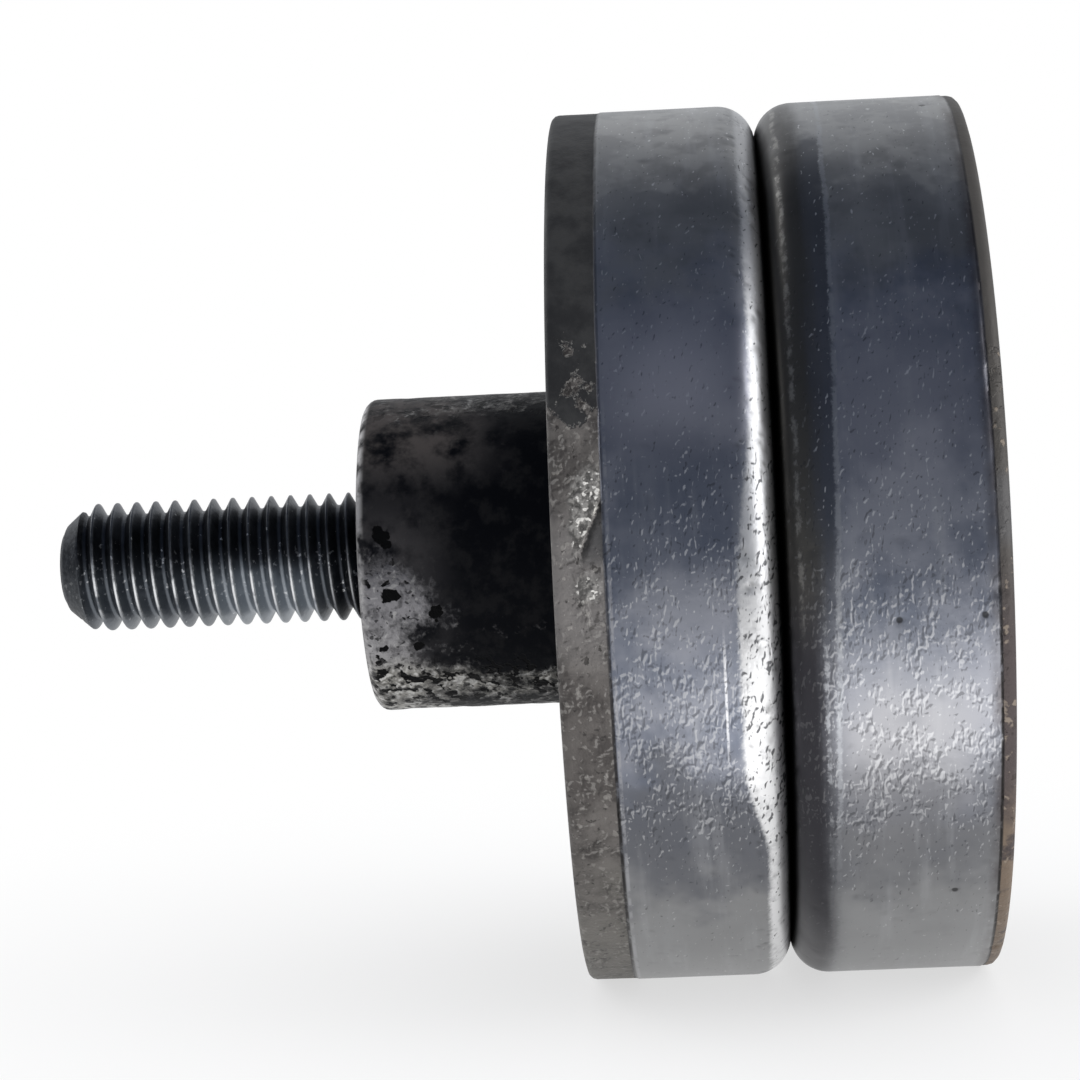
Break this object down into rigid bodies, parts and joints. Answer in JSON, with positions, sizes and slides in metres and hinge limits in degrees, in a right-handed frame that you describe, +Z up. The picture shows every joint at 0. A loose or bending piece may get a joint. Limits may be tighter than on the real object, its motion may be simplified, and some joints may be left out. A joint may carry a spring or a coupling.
{
  "type": "tensioner pulley",
  "caption": "Flat belt tensioner pulley of two drawn steel cups riveted back to back on a sealed ball bearing, with a spacer sleeve and a threaded mounting stud.",
  "frame": {"origin": "on the spin axis, in the plane where the two cups meet, which is the middle of the belt track", "axes": "+Y along the spin axis towards the threaded stud, +Z up, +X across"},
  "size_m": [0.066, 0.0696, 0.066],
  "materials": {
    "drawn_steel": "satin cold drawn sheet, with rough mill scale at the rims",
    "rivet_steel": "dull cold headed steel",
    "bearing_steel": "ground bearing steel",
    "ball_steel": "polished balls",
    "seal_rubber": "matt black rubber",
    "cage_steel": "pressed ribbon steel",
    "black_oxide": "black oxide with bright thread crests",
    "plain_washer": "plain stamped steel",
    "forging_scale": "near-black scale with worn grey patches"
  },
  "bodies": {
    "axle": {"mounting_bolt": "black_oxide", "spacer_washer": "plain_washer", "spacer_sleeve": "forging_scale", "bearing_inner_ring": "bearing_steel"},
    "wheel": {"back_shell": "drawn_steel", "front_shell": "drawn_steel", "shell_rivets": "rivet_steel", "bearing_outer_ring": "bearing_steel", "bearing_back_seal": "seal_rubber", "bearing_front_seal": "seal_rubber"},
    "cage": {"cage_back_half": "cage_steel", "cage_front_half": "cage_steel", "cage_rivets": "cage_steel"},
    "ball_1": {"bearing_ball_1": "ball_steel"},
    "ball_2": {"bearing_ball_2": "ball_steel"},
    "ball_3": {"bearing_ball_3": "ball_steel"},
    "ball_4": {"bearing_ball_4": "ball_steel"},
    "ball_5": {"bearing_ball_5": "ball_steel"},
    "ball_6": {"bearing_ball_6": "ball_steel"},
    "ball_7": {"bearing_ball_7": "ball_steel"}
  },
  "joints": [
    {"name": "wheel_spin", "type": "hinge", "parent": "axle", "child": "wheel", "pos_m": [0, 0, 0], "axis": [0, 1, 0], "continuous": true},
    {"name": "cage_orbit", "type": "hinge", "parent": "axle", "child": "cage", "pos_m": [0, 0, 0], "axis": [0, 1, 0], "continuous": true},
    {"name": "ball_1_roll", "type": "hinge", "parent": "cage", "child": "ball_1", "pos_m": [0.01125, 0, 0], "axis": [0, 1, 0], "continuous": true},
    {"name": "ball_2_roll", "type": "hinge", "parent": "cage", "child": "ball_2", "pos_m": [0.00701, 0, 0.0088], "axis": [0, 1, 0], "continuous": true},
    {"name": "ball_3_roll", "type": "hinge", "parent": "cage", "child": "ball_3", "pos_m": [-0.0025, 0, 0.01097], "axis": [0, 1, 0], "continuous": true},
    {"name": "ball_4_roll", "type": "hinge", "parent": "cage", "child": "ball_4", "pos_m": [-0.01014, 0, 0.00488], "axis": [0, 1, 0], "continuous": true},
    {"name": "ball_5_roll", "type": "hinge", "parent": "cage", "child": "ball_5", "pos_m": [-0.01014, 0, -0.00488], "axis": [0, 1, 0], "continuous": true},
    {"name": "ball_6_roll", "type": "hinge", "parent": "cage", "child": "ball_6", "pos_m": [-0.0025, 0, -0.01097], "axis": [0, 1, 0], "continuous": true},
    {"name": "ball_7_roll", "type": "hinge", "parent": "cage", "child": "ball_7", "pos_m": [0.00701, 0, -0.0088], "axis": [0, 1, 0], "continuous": true}
  ],
  "couplings": [
    {"joint": "cage_orbit", "follows": "wheel_spin", "ratio": 0.64111},
    {"joint": "ball_1_roll", "follows": "wheel_spin", "ratio": 1.6305},
    {"joint": "ball_2_roll", "follows": "wheel_spin", "ratio": 1.6305},
    {"joint": "ball_3_roll", "follows": "wheel_spin", "ratio": 1.6305},
    {"joint": "ball_4_roll", "follows": "wheel_spin", "ratio": 1.6305},
    {"joint": "ball_5_roll", "follows": "wheel_spin", "ratio": 1.6305},
    {"joint": "ball_6_roll", "follows": "wheel_spin", "ratio": 1.6305},
    {"joint": "ball_7_roll", "follows": "wheel_spin", "ratio": 1.6305}
  ]
}
